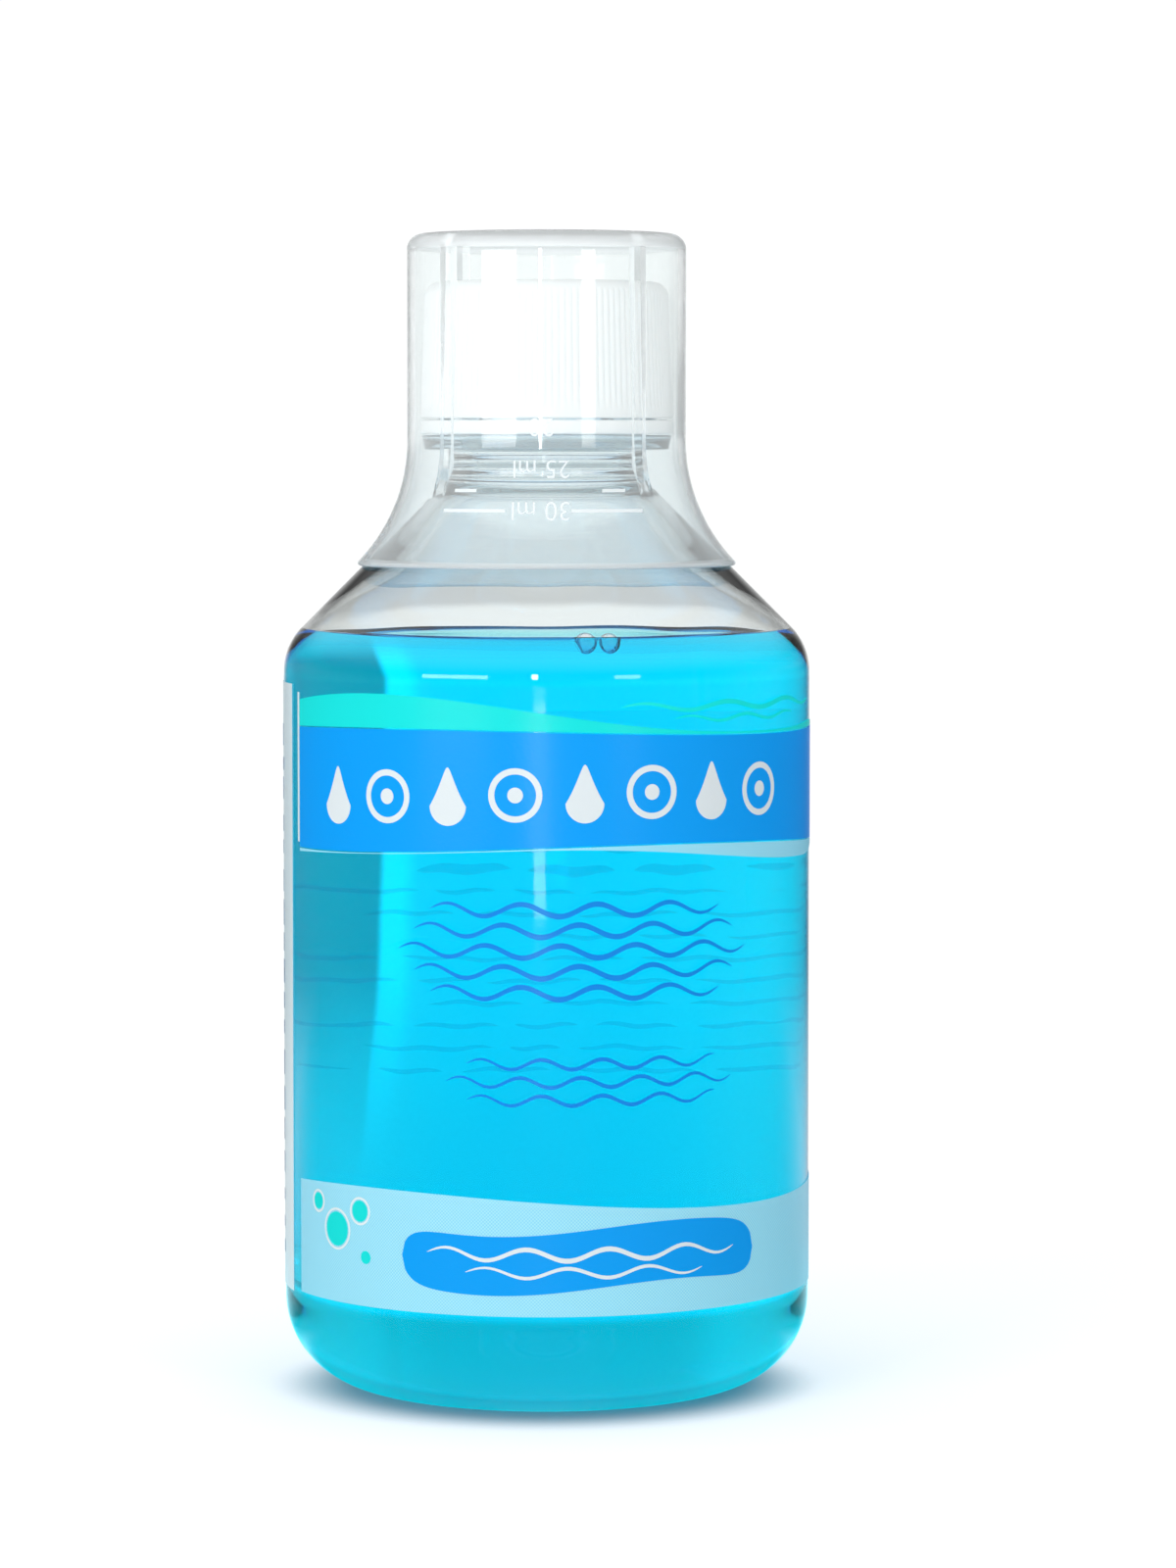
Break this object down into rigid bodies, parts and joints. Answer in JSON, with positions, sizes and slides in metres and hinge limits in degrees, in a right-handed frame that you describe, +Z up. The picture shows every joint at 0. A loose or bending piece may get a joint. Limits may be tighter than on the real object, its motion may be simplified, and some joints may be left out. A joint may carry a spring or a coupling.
{
  "type": "mouthwash bottle",
  "caption": "Clear round bottle of blue liquid with a sloping shoulder, wrap label, ribbed screw cap with tamper band, and a flared dosing cup turned over the cap.",
  "frame": {"origin": "middle of the base, on the plane that the bottle stands on", "axes": "+Z up along the bottle's axis, -Y towards the front of the label, +X to the right of someone who faces the front"},
  "size_m": [0.0662, 0.0662, 0.1446],
  "materials": {
    "clear_bottle_plastic": "clear blown PET, polished",
    "blue_liquid": "clear cyan liquid",
    "printed_film": "printed clear film, satin",
    "white_cap_plastic": "white moulded polypropylene, satin",
    "liner_foam": "expanded polyethylene foam",
    "clear_cup_plastic": "clear moulded polypropylene, slightly milky"
  },
  "bodies": {
    "bottle_body": {"bottle": "clear_bottle_plastic", "mouthwash_liquid": "blue_liquid", "wrap_label": "printed_film"},
    "band": {"tamper_band": "white_cap_plastic"},
    "liner": {"cap_liner": "liner_foam"},
    "cap": {"screw_cap": "white_cap_plastic"},
    "cup": {"dosing_cup": "clear_cup_plastic"}
  },
  "joints": [
    {"name": "cap_lift", "type": "slide", "parent": "bottle_body", "child": "liner", "axis": [0, 0, 1], "range_m": [0, 0.01695]},
    {"name": "cap_turn", "type": "hinge", "parent": "liner", "child": "cap", "pos_m": [0, 0, 0.1216], "axis": [0, 0, 1], "range_deg": [0, 1440]},
    {"name": "cup_lift", "type": "slide", "parent": "cap", "child": "cup", "axis": [0, 0, 1], "range_m": [0, 0.042]},
    {"name": "band_spin", "type": "hinge", "parent": "bottle_body", "child": "band", "pos_m": [0, 0, 0.1197], "axis": [0, 0, 1], "continuous": true}
  ],
  "couplings": [
    {"joint": "cap_lift", "follows": "cap_turn", "m_per_rad": 0.00067373}
  ]
}
